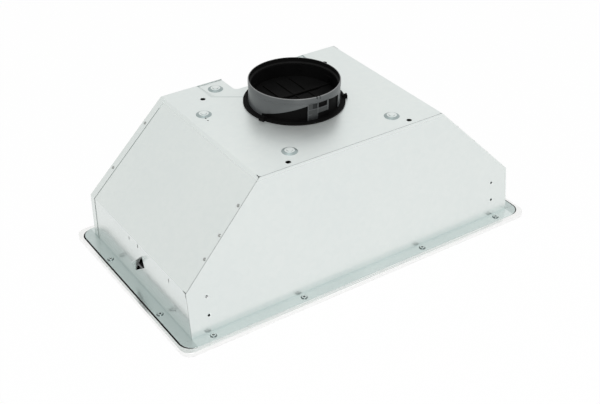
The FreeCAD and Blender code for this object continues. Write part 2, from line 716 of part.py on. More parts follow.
def make_collar_base():
    """Disc, inner wall with the flap ledge and pin bores, and the locking ears."""
    centre = Vector(0, size("collar_y"), size(TOP))
    up = Vector(0, 0, 1)
    wall_out = size("inner_radius")
    wall_in = wall_out - size("inner_wall")
    ledge_high = size("pin_height") - 3.3
    disc = size("collar_disc")
    disc_high = size("collar_disc_height")
    bead = size("collar_bead")
    skirt = -size("inner_skirt")
    high = size("inner_height")
    profile = [(wall_in, skirt), (wall_out, skirt), (wall_out, 0.05), (disc, 0.05),
               (disc, disc_high + 0.9), (disc - 1.6, disc_high + 0.9), (disc - 2.4, disc_high),
               (bead + 0.7, disc_high), (bead + 0.3, disc_high + 0.7), (bead - 0.3, disc_high + 0.7),
               (bead - 0.7, disc_high), (wall_out, disc_high), (wall_out, high), (wall_in, high),
               (wall_in, ledge_high), (wall_in - 3.2, ledge_high), (wall_in - 3.2, ledge_high - 1.6),
               (wall_in, ledge_high - 4.0)]
    solid = turned_ring(profile, centre, up)
    pin_reach = 2 * wall_out
    pin_end = centre + Vector(-wall_out, 0, size("pin_height"))
    bore = Part.makeCylinder(size("pin_radius + 0.02"), pin_reach, pin_end, Vector(1, 0, 0))
    ears = []
    for turn in (-161, -26, 86):
        ears.append(sector(disc - 3, disc + 4.5, turn - 3.2, turn + 3.2, 0.1, disc_high + 0.8))
        ears.append(sector(disc - 6, disc + 1.0, turn - 1.6, turn + 1.6, 0.1, disc_high + 4.5))
        ears.append(sector(disc + 2.2, disc + 4.5, turn - 3.2, turn + 3.2, 0.1, disc_high + 4.0))
    pads = []
    for turn in (0, 180):
        pads.append(sector(wall_in - 1.1, wall_in + 0.5, turn - 5, turn + 10, ledge_high, 28))
        pads.append(sector(wall_in - 1.1, wall_in + 0.5, turn + 46, turn + 51, 23, 26))
        pads.append(sector(wall_in - 1.1, wall_in + 0.5, turn + 118, turn + 129, 17, 20))
    hub = solid.fuse(ears + pads)
    slots = [sector(wall_in - 6, wall_in + 0.2, turn - 1.6, turn + 1.6, ledge_high - 0.2, ledge_high + 12)
             for turn in (0, 180)]
    hub = hub.cut(Part.makeCompound(slots)).cut(bore)
    keep_shape("collar_base", hub.removeSplitter())


def ramp_window(start, stop, left, right):
    """Opening from the disc up to a slanting edge: its height at the first and at the last angle."""
    radius = size("collar_radius")
    window = sector(radius - 6, radius + 6, start, stop, size("collar_disc_height") - 1, size("collar_step"))
    chord = 2 * radius * math.sin(math.radians((stop - start) / 2))
    middle = math.radians((start + stop) / 2)
    radial = Vector(math.cos(middle), math.sin(middle), 0)
    pivot = Vector(0, size("collar_y"), size(TOP) + (left + right) / 2) + radial * radius
    slab = Part.makeBox(400, 400, 100, pivot - Vector(200, 200, 100))
    slab.rotate(pivot, radial, math.degrees(math.atan2(right - left, chord)))
    return window.common(slab)


def make_collar_ring():
    """Outer band that the duct slides over, with its ramped windows and the framed block between them."""
    centre = Vector(0, size("collar_y"), size(TOP))
    up = Vector(0, 0, 1)
    outer = size("collar_radius")
    inner = outer - size("collar_wall")
    skin = outer - size("collar_relief")
    rib = skin - 0.1
    block = skin - size("block_sunk")
    foot = size("collar_disc_height") + 0.05
    step = size("collar_step")
    high = size("collar_height")
    shelf = size("inner_height") + 0.05
    seat = size("inner_radius - inner_wall")
    profile = [(inner, foot), (skin, foot), (skin, step - 0.6), (outer, step), (outer, high - 1.2),
               (outer - 0.7, high), (inner + 0.4, high), (inner, high - 0.6),
               (inner, shelf + 5.0), (seat, shelf + 3.0), (seat, shelf), (inner, shelf)]
    ring = turned_ring(profile, centre, up)
    for turn in (0, 180):
        windows = [ramp_window(turn - 168, turn - 107.5, 7, 33.5),
                   ramp_window(turn - 77.5, turn - 54, 35.5, 30),
                   sector(inner - 4, outer + 4, turn - 93.5, turn - 77, foot - 1, 14.5),
                   sector(block, outer + 4, turn - 107.5, turn - 78, foot - 1, step - 1.2)]
        # two recesses in the block, and the nicks in the rim above them
        hollows = [sector(block - 0.8, outer + 3, turn - 101, turn - 95, 25.5, 35.5),
                   sector(block - 1.2, outer + 3, turn - 93, turn - 80, 25.5, 35.5),
                   sector(inner - 3, outer + 3, turn - 92, turn - 91, step + 4, high + 1),
                   sector(inner - 3, outer + 3, turn - 96.5, turn - 95, high - 5, high + 1)]
        ring = ring.cut(Part.makeCompound(windows + hollows))
        frame = [sector(block - 0.3, rib, turn - 107.5, turn - 78.5, 36, 37),
                 sector(block - 0.3, rib, turn - 107.5, turn - 78.5, 23.6, 24.6),
                 sector(block - 0.3, rib, turn - 79.4, turn - 78.5, 14.5, 36.5),
                 sector(block - 0.3, rib, turn - 94.5, turn - 93.6, 14.5, 36.5),
                 sector(block - 0.3, rib, turn - 107.5, turn - 106.6, foot, 36.5),
                 sector(block - 0.3, rib, turn - 107, turn - 102, 13.4, 14.4)]
        ring = ring.fuse(frame)
    keep_shape("collar_ring", ring.removeSplitter())


def make_damper():
    y = "collar_y"
    z = f"{TOP} + pin_height"
    reach = "inner_radius - 0.6"
    keep("damper_pin", cylinder("damper_pin", "pin_radius", f"2 * ({reach})", f"-({reach})", y, z, "X"))
    pin_z = size(z)
    axle = Vector(0, size(y), pin_z)
    across = Vector(1, 0, 0)
    bore = Part.makeCylinder(size("pin_radius + pin_play"), 200, axle - across * 100, across)
    knuckle = size("knuckle_radius")
    thick = size("flap_thickness")
    plate_low = pin_z - knuckle
    for side, word, spans in ((-1, "front", (-54, -14, 26)), (1, "back", (-34, 6, 46))):
        disc = Part.makeCylinder(size("flap_radius"), thick, Vector(0, size(y), plate_low))
        half_y = size(y) + (0.3 if side > 0 else -100.3)
        half = Part.makeBox(200, 100, 20, Vector(-100, half_y, plate_low - 5))
        plate = disc.common(half)
        near_y = 6 if side > 0 else -62
        ribs = [Part.makeBox(2, 56, 2.4, Vector(x - 1, size(y) + near_y, plate_low + thick - 0.2))
                for x in (-30, 0, 30)]
        knuckles = [Part.makeCylinder(knuckle, 19.4, Vector(x - 9.7, size(y), pin_z), across) for x in spans]
        others = (-34, 6, 46) if side < 0 else (-54, -14, 26)
        reliefs = [Part.makeBox(20.6, 8, 12, Vector(x - 10.3, size(y) - 4, plate_low - 4))
                   for x in others]
        flap = plate.fuse(ribs).cut(Part.makeCompound(reliefs)).fuse(knuckles).cut(bore)
        keep_shape(f"damper_flap_{word}", flap.removeSplitter())


# ---------------------------------------------------------------- blower

def about_wheel(radius, turn):
    """Point at a distance from the wheel's axis, the angle in radians from +Y towards +Z."""
    return Vector(0, size("wheel_y") + radius * math.cos(turn), size("wheel_z") + radius * math.sin(turn))


def scroll_point(angle, extra=0.0):
    """Point of the scroll's spiral, the angle measured from +Y over the top, growing past the tongue."""
    start = size("scroll_tongue")
    share = (angle - start) / (360.0 - start)
    radius = size("scroll_start") + share * size("scroll_end - scroll_start") + extra
    turn = math.radians(angle)
    return about_wheel(radius, turn)


def scroll_edges(extra):
    """The spiral as arcs from the tongue round the front and below to the back wall, then up."""
    start = size("scroll_tongue")
    high = size(f"{TOP} - metal")
    steps = 7
    span = (360.0 - start) / steps
    outlet = Vector(0, size("outlet_front") - extra, high)
    edges = [Part.LineSegment(outlet, scroll_point(start, extra)).toShape()]
    for k in range(steps):
        first = start + k * span
        spots = [scroll_point(angle, extra) for angle in (first, first + span / 2, first + span)]
        edges.append(Part.Arc(*spots).toShape())
    end = scroll_point(360.0, extra)
    edges.append(Part.LineSegment(end, Vector(0, end.y, high)).toShape())
    return edges


def make_scroll():
    metal = size("metal")
    half = size("scroll_half")
    inner = scroll_edges(0.0)
    outer = scroll_edges(metal)
    caps = [Part.LineSegment(inner[0].Vertexes[0].Point, outer[0].Vertexes[0].Point).toShape(),
            Part.LineSegment(inner[-1].Vertexes[-1].Point, outer[-1].Vertexes[-1].Point).toShape()]
    strip = Part.Face(Part.Wire(Part.__sortEdges__(inner + outer + caps)))
    strip.translate(Vector(-half + 0.05, 0, 0))
    keep_shape("scroll_wrapper", strip.extrude(Vector(2 * half - 0.1, 0, 0)))
    rim = scroll_edges(metal + 3.0)
    closing = Part.LineSegment(rim[-1].Vertexes[-1].Point, rim[0].Vertexes[0].Point).toShape()
    outline = Part.Face(Part.Wire(Part.__sortEdges__(rim + [closing])))
    centre = Vector(-5, size("wheel_y"), size("wheel_z"))
    along = Vector(1, 0, 0)
    for side, word in ((-1, "left"), (1, "right")):
        plate = outline.extrude(Vector(metal, 0, 0))
        plate = plate.cut(Part.makeCylinder(size("inlet_radius"), 10, centre, along))
        plate.translate(Vector(side * half - (metal if side < 0 else 0), 0, 0))
        keep_shape(f"scroll_side_{word}", plate)
        ring_centre = Vector(side * half, size("wheel_y"), size("wheel_z"))
        mouth = size("inlet_radius")
        profile = [(mouth + 6, metal + 0.05), (mouth + 6, metal + 0.95), (mouth - 1.5, metal + 0.95),
                   (mouth - 4.5, -0.4), (mouth - 5, -6), (mouth - 4.2, -6), (mouth - 3.7, -0.8),
                   (mouth - 1.0, metal + 0.05)]
        ring = turned_ring(profile, ring_centre, Vector(side, 0, 0))
        keep_shape(f"inlet_ring_{word}", ring)


def blade(turn):
    """One forward-curved blade: a thin arc strip from the inner to the outer radius, as wide as the wheel."""
    inner = size("wheel_inner") + 0.6
    outer = size("wheel_radius") - 0.6
    half = size("wheel_half")
    def at(radius, angle):
        return about_wheel(radius, math.radians(angle))
    lean = 7.0
    middle = (inner + outer) / 2
    near_edge = Part.Arc(at(inner, turn), at(middle, turn + 1.6), at(outer, turn + lean)).toShape()
    far_edge = Part.Arc(at(inner, turn + 0.8), at(middle, turn + 2.4), at(outer, turn + lean + 0.7)).toShape()
    ends = [Part.LineSegment(at(inner, turn), at(inner, turn + 0.8)).toShape(),
            Part.LineSegment(at(outer, turn + lean), at(outer, turn + lean + 0.7)).toShape()]
    face = Part.Face(Part.Wire(Part.__sortEdges__([near_edge, far_edge] + ends)))
    face.translate(Vector(-half, 0, 0))
    return face.extrude(Vector(2 * half, 0, 0))


def make_wheel():
    centre = Vector(0, size("wheel_y"), size("wheel_z"))
    along = Vector(1, 0, 0)
    inner = size("wheel_inner")
    outer = size("wheel_radius")
    half = size("wheel_half")
    bore = size("shaft_radius")
    rings = [turned_ring([(inner, x0), (outer, x0), (outer, x1), (inner, x1)], centre, along)
             for x0, x1 in ((-half, -half + 1.5), (half - 1.5, half))]
    plate = turned_ring([(bore, -14), (9, -14), (9, -3.5), (20, -0.6), (outer - 0.3, -0.6),
                         (outer - 0.3, 0.6), (20, 0.6), (9, -1.0), (9, 2), (bore, 2)], centre, along)
    count = int(size("blade_count"))
    blades = [blade(360.0 * k / count) for k in range(count)]
    wheel = plate.fuse(rings + blades)
    keep_shape("blower_wheel", wheel.removeSplitter())
    shaft = cylinder("motor_shaft", "shaft_radius", "motor_near + 16", "-15", "wheel_y", "wheel_z", "X")
    keep("motor_shaft", shaft)


def make_motor():
    centre = Vector(0, size("wheel_y"), size("wheel_z"))
    along = Vector(1, 0, 0)
    radius = size("motor_radius")
    low = size("motor_near")
    high = size("motor_far")
    bore = size("shaft_radius + shaft_play")
    profile = [(bore, low - 4), (9, low - 4), (11, low), (radius - 6, low), (radius, low + 5),
               (radius, high - 16), (radius + 2.5, high - 16), (radius + 2.5, high - 12),
               (radius, high - 12), (radius, high - 5),
               (radius - 6, high), (0.01, high), (0.01, low + 3), (bore, low + 3)]
    can = turned_ring(profile, centre, along)
    vents = []
    for k in range(12):
        slot = Part.makeBox(14, 3, 8, centre + Vector(low + 14, -1.5, radius - 3))
        slot.rotate(centre, along, 30.0 * k)
        vents.append(slot)
    keep_shape("motor_can", can.cut(Part.makeCompound(vents)))

    # hub plate with three cranked arms bolted over the right inlet
    plate_x = high + 0.1
    hub_radius = 30
    hub = turned_ring([(8, plate_x), (hub_radius, plate_x), (hub_radius, plate_x + 2), (8, plate_x + 2)],
                      centre, along)
    inside_hub = Part.makeCylinder(hub_radius, 20, centre + Vector(plate_x - 5, 0, 0), along)
    arms = []
    screws = []
    foot_x = size("scroll_half + metal") + 0.1
    screw_profile = [(0.01, 0), (2.4, 0), (2.4, 1.8), (4.4, 1.8), (4.4, 3.2), (3.2, 4.2), (0.01, 4.2)]
    for k in range(3):
        arm = Part.makeBox(2, 16, 56, centre + Vector(plate_x, -8, 22))
        drop = Part.makeBox(plate_x + 2 - foot_x, 16, 2, centre + Vector(foot_x, -8, 76))
        foot = Part.makeBox(1.6, 16, 12, centre + Vector(foot_x, -8, 76))
        hole = Part.makeCylinder(2.6, 8, centre + Vector(foot_x - 3, 0, 83), along)
        whole = arm.fuse([drop, foot]).cut(Part.makeCompound([hole, inside_hub])).removeSplitter()
        screw = turned_ring(screw_profile, centre + Vector(foot_x, 0, 83), along)
        for item, group in ((whole, arms), (screw, screws)):
            item.rotate(centre, along, 120.0 * k)
            group.append(item)
    keep_shape("motor_bracket", hub)
    keep_shape("motor_arms", Part.makeCompound(arms))
    keep_shape("motor_screws", Part.makeCompound(screws))


def make_electrics():
    can_y = f"{HALF_D} - metal - 19"
    can_z = f"{FLANGE_TOP} + 122"
    keep("capacitor", cylinder("capacitor", "17", "58", "-180", can_y, can_z, "X"))
    clip_outer = cylinder("clip_outer", "18.9", "16", "-159", can_y, can_z, "X")
    clip_inner = cylinder("clip_inner", "17.1", "20", "-161", can_y, can_z, "X")
    clip_foot = box("clip_foot", "-159", "-143", f"{HALF_D} - metal - 1.7", f"{HALF_D} - metal - 0.1",
                    f"{FLANGE_TOP} + 96", f"{FLANGE_TOP} + 148")
    clip = joined("clip_parts", [clip_outer, clip_foot])
    keep("capacitor_clip", cut("capacitor_clip", clip, clip_inner))

    left, right = "-44", "44"
    front = f"({HALF_D} - notch_depth - 38)"
    back = f"({HALF_D} - notch_depth + 0.05)"
    low = f"({TOP} - 58)"
    high = f"({TOP} - 6)"
    block = box("wiring_block", left, right, front, back, low, high)
    hollow = box("wiring_hollow", f"{left} + metal", f"{right} - metal", f"{front} + metal",
                 f"{back} - metal", f"{low} - 5", f"{high} - metal")
    hole = cylinder("wiring_gland_hole", "9.1", "10", "gland_x", f"{back} - 5", f"{TOP} - gland_drop", "Y")
    keep("wiring_box", cut("wiring_box", cut("wiring_shell", block, hollow), hole))
    keep("wiring_cover", box("wiring_cover", f"{left} - 0.5", f"{right} + 0.5", f"{front} - 0.5", back,
                             f"{low} - metal - 0.1", f"{low} - 0.1"))
    terminal = box("terminal_body", "2", "38", f"{front} + metal + 0.1", f"{front} + metal + 16",
                   f"{low} + 12", f"{low} + 32")
    way_y = f"{front} + metal + 8"
    ways = joined("terminal_ways", [cylinder("terminal_way", "3", "10", f"{6.5 + 9 * k}", way_y,
                                             f"{low} + 22", "Y") for k in range(4)])
    keep("terminal_block", cut("terminal_block", terminal, ways))

    # the gland joins the pocket's front wall to the wiring box, and its mouth faces the notch
    centre = Vector(size("gland_x"), size(f"{HALF_D} - notch_depth"), size(f"{TOP} - gland_drop"))
    wall = size("metal") + 0.1
    nut = -size("metal") + 0.05
    profile = [(5.2, nut - 4.2), (12, nut - 4.2), (12, nut - 0.1), (9.0, nut - 0.1),
               (9.0, wall + 0.1), (12, wall + 0.1), (12, wall + 5), (8.8, wall + 5), (8.8, wall + 8),
               (8.0, wall + 9.5), (5.2, wall + 9.5)]
    keep_shape("cable_gland", turned_ring(profile, centre, Vector(0, 1, 0)))


# ---------------------------------------------------------------- underside

def make_filters():
    metal = size("metal")
    play = size("filter_play")
    front = size("filter_front") + play
    back = size("filter_back") - play
    low = size("filter_low")
    high = size("filter_high")
    rim = size("frame_rim")
    hook = size("filter_hook")
    lip_top = size("face_height + metal") + 0.3
    for side, word in ((-1, "left"), (1, "right")):
        near_x = size("filter_gap") + play
        far_x = size("filter_outer") - play
        x0, x1 = (near_x, far_x) if side > 0 else (-far_x, -near_x)
        def slab(inset, z0, z1, extra_back=0.0):
            return Part.makeBox(x1 - x0 - 2 * inset, back - front - 2 * inset + extra_back, z1 - z0,
                                Vector(x0 + inset, front + inset, z0))
        frame = slab(0, low, high)
        frame = frame.fuse(slab(0, lip_top, lip_top + 1.6, extra_back=hook))
        frame = frame.cut(slab(rim, low - 1, high + 1))
        channel = slab(metal, low + metal, high - metal).cut(slab(rim - metal, low - 1, high + 1))
        throat = slab(rim - 1.5 * metal, low + 1.8, high - 1.8).cut(slab(rim + 1, low - 1, high + 1))
        frame = frame.cut(channel.fuse(throat))
        slot_x = (x0 + x1) / 2
        slot = Part.makeBox(size("latch_width") + 0.8, rim + 2, 4.4, Vector(
            slot_x - size("latch_width") / 2 - 0.4, front - 1, lip_top - 0.2))
        window = Part.makeBox(18.8, rim - 3, 5, Vector(slot_x - 9.4, front + 4, low - 2))
        frame = frame.cut(slot).cut(window)
        keep_shape(f"filter_frame_{word}", frame.removeSplitter())

        # two staggered rows of channels along the filter's depth
        pitch = size("baffle_pitch")
        width = size("baffle_width")
        length = back - front - 2 * (rim - 1.5 * metal) - 0.4
        start_y = front + rim - 1.5 * metal + 0.2
        strips = []
        count = int((x1 - x0 - 2 * rim - 6) // (pitch / 2))
        first_x = slot_x - (count - 1) * pitch / 4
        for k in range(count):
            x = first_x + k * pitch / 2
            lower_row = k % 2 == 0
            z0, z1 = (low + 1.9, low + 7.9) if lower_row else (high - 7.9, high - 1.9)
            outer = Part.makeBox(width, length, z1 - z0, Vector(x - width / 2, start_y, z0))
            lift = metal if lower_row else -metal
            trough = Part.makeBox(width - 2 * metal, length + 2, z1 - z0, Vector(
                x - width / 2 + metal, start_y - 1, z0 + lift))
            strips.append(outer.cut(trough))
        lowered = [strip for k, strip in enumerate(strips) if k % 2 == 0]
        raised = [strip for k, strip in enumerate(strips) if k % 2 == 1]
        keep_shape(f"filter_baffles_{word}", Part.makeCompound(lowered + raised))

        # sprung latch: a bolt in the frame's front slot with a finger pull below
        wide = size("latch_width")
        bolt = Part.makeBox(wide, 8.5, 3.6, Vector(slot_x - wide / 2, front + 0.1, lip_top + 0.2))
        neck_low = low - 1.2
        neck = Part.makeBox(17.4, 4, lip_top + 0.4 - neck_low, Vector(slot_x - 8.7, front + 5, neck_low))
        pull = Part.makeBox(17.4, 7, 1.2, Vector(slot_x - 8.7, front + 3.5, low - 1.6))
        keep_shape(f"filter_latch_{word}", bolt.fuse([neck, pull]).removeSplitter())


def make_controls():
    under = "(face_height - 0.05)"
    above = "(face_height + metal + 0.05)"
    flange = box("bezel_flange", "-control_half - 5", "control_half + 5", "strip_y - control_depth - 5",
                 "strip_y + control_depth + 5", f"{under} - 1.6", under)
    collar = box("bezel_collar", "-control_half + 0.2", "control_half - 0.2", "strip_y - control_depth + 0.2",
                 "strip_y + control_depth - 0.2", f"{under} - 1", f"{above} + 1.5")
    places = [f"{k} * button_pitch" for k in range(-2, 3)]
    wells = [box("bezel_well", f"{place} - button_half - 0.4", f"{place} + button_half + 0.4",
                 "strip_y - button_depth - 0.4", "strip_y + button_depth + 0.4", "-1", "20")
             for place in places]
    bezel = joined("bezel_parts", [flange, collar])
    keep("control_bezel", cut("control_bezel", bezel, joined("bezel_wells", wells)))

    low = f"({above} + 1.6)"
    block = box("housing_block", "-control_half - 4", "control_half + 4", "strip_y - control_depth - 4",
                "strip_y + control_depth + 4", low, f"{low} + 24")
    hollow = [box("housing_room", f"{place} - button_half - 1", f"{place} + button_half + 1",
                  "strip_y - button_depth - 1", "strip_y + button_depth + 1", f"{low} - 1", f"{low} + 14")
              for place in places]
    keep("control_housing", cut("control_housing", block, joined("housing_rooms", hollow)))

    for place, word in zip(places, ("light", "off", "low", "medium", "high")):
        cap = box(f"{word}_cap", f"{place} - button_half", f"{place} + button_half",
                  "strip_y - button_depth", "strip_y + button_depth", f"{under} - 3", f"{low} + 4")
        stem = box(f"{word}_stem", f"{place} - 3", f"{place} + 3", "strip_y - 3", "strip_y + 3",
                   f"{low} + 3.5", f"{low} + 10")
        whole = joined(f"{word}_whole", [cap, stem])
        doc.recompute()
        round_edges = [(index, 1.4, 1.4) for index, edge in enumerate(whole.Shape.Edges, start=1)
                       if near(edge.BoundBox.ZMax, size(f"{under} - 3"))]
        soft = doc.addObject("Part::Fillet", f"{word}_button")
        soft.Base = whole
        soft.Edges = round_edges
        keep(f"{word}_button", soft)


def make_lamps():
    for side, word in ((-1, "left"), (1, "right")):
        centre = Vector(side * size("lamp_x"), size("strip_y"), size("face_height"))
        up = Vector(0, 0, 1)
        radius = size("lamp_radius")
        bezel = size("lamp_bezel")
        profile = [(radius - 3, -1.6), (radius - 1, -2.2), (bezel - 2, -2.2), (bezel, -0.9), (bezel, -0.05),
                   (radius + 0.8, -0.05), (radius + 0.8, 6), (radius - 0.8, 6), (radius - 0.8, 0.6),
                   (radius - 3, 0.6)]
        keep_shape(f"lamp_bezel_{word}", turned_ring(profile, centre, up))
        lens = [(0.01, -0.9), (radius - 8, -0.7), (radius - 3.2, 0.3), (radius - 3.2, 0.7), (radius - 1, 0.7),
                (radius - 1, 2.6), (0.01, 2.6)]
        keep_shape(f"lamp_lens_{word}", turned_ring(lens, centre, up))
        deep = size("lamp_depth")
        can = [(radius + 1.0, 1.2), (radius + 4, 1.2), (radius + 4, 2.2), (radius + 2.2, 2.2),
               (radius + 2.2, deep - 4), (radius - 4, deep), (0.01, deep), (0.01, deep - 1.2),
               (radius - 5, deep - 1.2), (radius + 1.0, deep - 5)]
        keep_shape(f"lamp_can_{word}", turned_ring(can, centre, up))


# ---------------------------------------------------------------- build, check and write

make_trim_pan()
make_housing_wrap()
make_front_panel()
make_back_panel()
make_slope_rivets()
make_back_recess()
make_collar_base()
make_collar_ring()
make_damper()
make_scroll()
make_wheel()
make_motor()
make_electrics()
make_filters()
make_controls()
make_lamps()
doc.recompute()

for item in doc.Objects:
    if "Invalid" in item.State or "Error" in item.State:
        raise RuntimeError(f"{item.Label} failed: {item.State}")
os.makedirs("parts", exist_ok=True)
for name, piece in nodes.items():
    if piece.Shape.isNull() or not piece.Shape.isValid() or not piece.Shape.Solids:
        raise RuntimeError(f"{name} has no valid solid")
for name, piece in nodes.items():
    piece.Shape.exportStep(f"parts/{name}.step")
    limits = piece.Shape.BoundBox
    print(f"{name}: {len(piece.Shape.Solids)} solid, volume {piece.Shape.Volume:.0f}, "
          f"x {limits.XMin:.1f}..{limits.XMax:.1f} y {limits.YMin:.1f}..{limits.YMax:.1f} "
          f"z {limits.ZMin:.1f}..{limits.ZMax:.1f}")
print(len(nodes), "nodes")
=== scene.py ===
"""Looks, light and camera of the range hood insert, over the frame that the CAD source makes."""
import json
import math

import bmesh
import bpy
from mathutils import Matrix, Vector


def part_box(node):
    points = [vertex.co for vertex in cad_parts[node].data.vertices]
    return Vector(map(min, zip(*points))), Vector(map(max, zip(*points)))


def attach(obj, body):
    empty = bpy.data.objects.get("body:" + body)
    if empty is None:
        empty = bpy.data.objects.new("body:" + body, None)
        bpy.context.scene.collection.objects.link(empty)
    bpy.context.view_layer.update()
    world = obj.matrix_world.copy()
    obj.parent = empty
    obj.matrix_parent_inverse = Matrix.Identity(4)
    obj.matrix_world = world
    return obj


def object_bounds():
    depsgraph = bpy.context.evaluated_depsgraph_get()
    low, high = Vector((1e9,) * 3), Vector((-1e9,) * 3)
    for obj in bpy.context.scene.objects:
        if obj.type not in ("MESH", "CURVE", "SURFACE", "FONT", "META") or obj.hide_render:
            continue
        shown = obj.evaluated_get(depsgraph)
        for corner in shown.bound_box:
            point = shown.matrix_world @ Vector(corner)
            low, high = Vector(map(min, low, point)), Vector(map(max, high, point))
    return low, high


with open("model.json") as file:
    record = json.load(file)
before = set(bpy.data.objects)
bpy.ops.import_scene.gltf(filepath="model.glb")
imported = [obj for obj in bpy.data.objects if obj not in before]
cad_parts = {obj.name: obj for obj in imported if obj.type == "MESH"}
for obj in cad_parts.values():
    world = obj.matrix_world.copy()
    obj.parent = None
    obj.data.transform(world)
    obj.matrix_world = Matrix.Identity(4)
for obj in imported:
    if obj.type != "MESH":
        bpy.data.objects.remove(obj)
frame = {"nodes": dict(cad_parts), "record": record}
cad_box = [[float(value) for value in corner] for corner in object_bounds()]

MM = 0.001


# ---------------------------------------------------------------- shader helpers

NOISE_RANGE = (0.3, 0.7)    # most values of a noise lie in here
GRAIN_RANGE = (0.35, 0.65)  # a little narrower, for more contrast
MIX_INPUTS, MIX_OUTPUT = (0, 6, 7), 2  # a mix node's sockets for the share, both colours and the result


class Nodes:
    """Short calls that make and join the nodes of one tree."""

    def __init__(self, tree):
        self.tree = tree

    def node(self, kind, **settings):
        made = self.tree.nodes.new(kind)
        for name, value in settings.items():
            setattr(made, name, value)
        return made

    def plug(self, value, socket):
        """Give a socket the output of another node, or a fixed value."""
        if isinstance(value, bpy.types.NodeSocket):
            self.tree.links.new(value, socket)
        else:
            socket.default_value = value

    def feed(self, made, **values):
        for name, value in values.items():
            self.plug(value, made.inputs[name.replace("_", " ")])
        return made

    def join(self, made, *values):
        """Fill the inputs of a node in their order."""
        for socket, value in zip(made.inputs, values):
            self.plug(value, socket)
        return made

    def parts(self, vector):
        return self.feed(self.node("ShaderNodeSeparateXYZ"), Vector=vector).outputs

    def spread(self, source, low, high, start=0.0, stop=1.0):
        """Low to high while the source goes from start to stop, and level outside."""
        made = self.feed(self.node("ShaderNodeMapRange"), Value=source,
                         From_Min=start, From_Max=stop, To_Min=low, To_Max=high)
        return made.outputs["Result"]

    def share(self, source, start, stop):
        return self.spread(source, 0.0, 1.0, start, stop)

    def math(self, kind, first, second=0.0):
        return self.join(self.node("ShaderNodeMath", operation=kind), first, second).outputs["Value"]

    def plus(self, first, second):
        return self.math("ADD", first, second)

    def minus(self, first, second):
        return self.math("SUBTRACT", first, second)

    def times(self, first, second):
        return self.math("MULTIPLY", first, second)

    def larger(self, first, second):
        return self.math("MAXIMUM", first, second)

    def above(self, value, limit):
        return self.math("GREATER_THAN", value, limit)

    def below(self, value, limit):
        return self.math("LESS_THAN", value, limit)

    def size(self, value):
        return self.math("ABSOLUTE", value)

    def mix(self, share, first, second):
        """One colour going over into another."""
        made = self.node("ShaderNodeMix", data_type="RGBA")
        for number, value in zip(MIX_INPUTS, (share, first, second)):
            self.plug(value, made.inputs[number])
        return made.outputs[MIX_OUTPUT]

    def blend(self, share, first, second):
        """One surface or background going over into another."""
        return self.join(self.node("ShaderNodeMixShader"), share, first.outputs[0], second.outputs[0])


class Shader(Nodes):
    """A node material with a principled surface and the patterns that feed it."""

    def __init__(self, name, **constants):
        self.material = bpy.data.materials.new(name)
        self.material.use_nodes = True
        super().__init__(self.material.node_tree)
        self.surface = self.tree.nodes["Principled BSDF"]
        self.set(**constants)
        self.place = self.node("ShaderNodeTexCoord").outputs["Object"]

    def set(self, **values):
        self.feed(self.surface, **values)
        return self

    def pattern(self, kind, stretch, **values):
        """A texture in the object's own coordinates, finer along an axis that is stretched more."""
        vector = self.place
        if stretch:
            vector = self.feed(self.node("ShaderNodeMapping"), Vector=vector, Scale=stretch).outputs["Vector"]
        return self.feed(self.node(kind), Vector=vector, **values).outputs

    def noise(self, scale, detail, stretch=None, roughness=0.5):
        made = self.pattern("ShaderNodeTexNoise", stretch, Scale=scale, Detail=detail, Roughness=roughness)
        return made["Fac"]

    def cells(self, scale):
        colour = self.pattern("ShaderNodeTexVoronoi", None, Scale=scale)["Color"]
        return self.feed(self.node("ShaderNodeSeparateColor"), Color=colour).outputs["Red"]

    def facing(self):
        """The parts of the way that the face itself points, without bumps or soft edges."""
        return self.parts(self.node("ShaderNodeNewGeometry").outputs["True Normal"])

    def bump(self, height, distance, strength, under=None):
        """Raise the surface by the height, on top of the normal under it."""
        made = self.feed(self.node("ShaderNodeBump"), Height=height, Distance=distance, Strength=strength)
        if under is not None:
            self.feed(made, Normal=under)
        return made.outputs["Normal"]

    def soft_edges(self, radius):
        return self.feed(self.node("ShaderNodeBevel", samples=4), Radius=radius).outputs["Normal"]


def rgb(red, green, blue):
    return (red, green, blue, 1.0)


def squared(*radii):
    return [radius ** 2 for radius in radii]


# ---------------------------------------------------------------- what the shading of the solids follows

FLANGE_FADE = (12.5 * MM, 14.5 * MM)      # flange below, wall above
SIDE_FLANGE = (369.5 * MM, 370.5 * MM)    # side flange further out in x
PLATE_LOW = 14.5 * MM                     # the leaning plate's cut edges, with their painted gap shade, show above this
BOSS_X, BOSS_Y = 374.0 * MM, 197.5 * MM   # the flange bosses lie beyond one of these
BOSS_HIGH = 16.5 * MM                     # and below this height
TOP_BEND = (262.0 * MM, 266.0 * MM)       # the bends between the slopes and the top
TOP_HALF = 200.0 * MM                     # the domes and the sunk field lie within this half width
NEAR_TOP = 255.0 * MM                     # anything higher belongs to the top and its bends
SUNK_HALF = 124.0 * MM                    # the sunk field: half width, front edge and two cut corners
SUNK_FRONT = 104.7 * MM
SUNK_CORNER = 46.4 * MM
SUNK_SLANT_X, SUNK_SLANT_Y = 0.555, 0.832
SUNK_BAND = 4.0 * MM                      # the width of the painted shade band along its edge
COLLAR_Y = 37.8 * MM                      # the axis of the duct collar
COLLAR_BAND = (86.95 * MM, 87.20 * MM)    # the collar's outer band starts between these radii
COLLAR_RIM = (86.6 * MM, 86.8 * MM)       # and the painted highlight on the top of its rim between these,
RIM_LOW = 317.2 * MM                      # above this height
BLOCK_TURN = math.radians(-92.75)         # the way that the framed block faces
BLOCK_OUT = (83.8 * MM, 84.2 * MM)        # it starts this far out along that way,
BLOCK_SUNK = (87.45 * MM, 87.65 * MM)     # its sunk faces end between these radii,
BLOCK_HIGH = (306.2 * MM, 306.8 * MM)     # and between these heights
SLOPE_TILT = (0.4, 0.93)                  # how much of a pressed slope's facing is upward
SQUARE_ON = 0.9                           # a face that looks along an axis has more than this of it
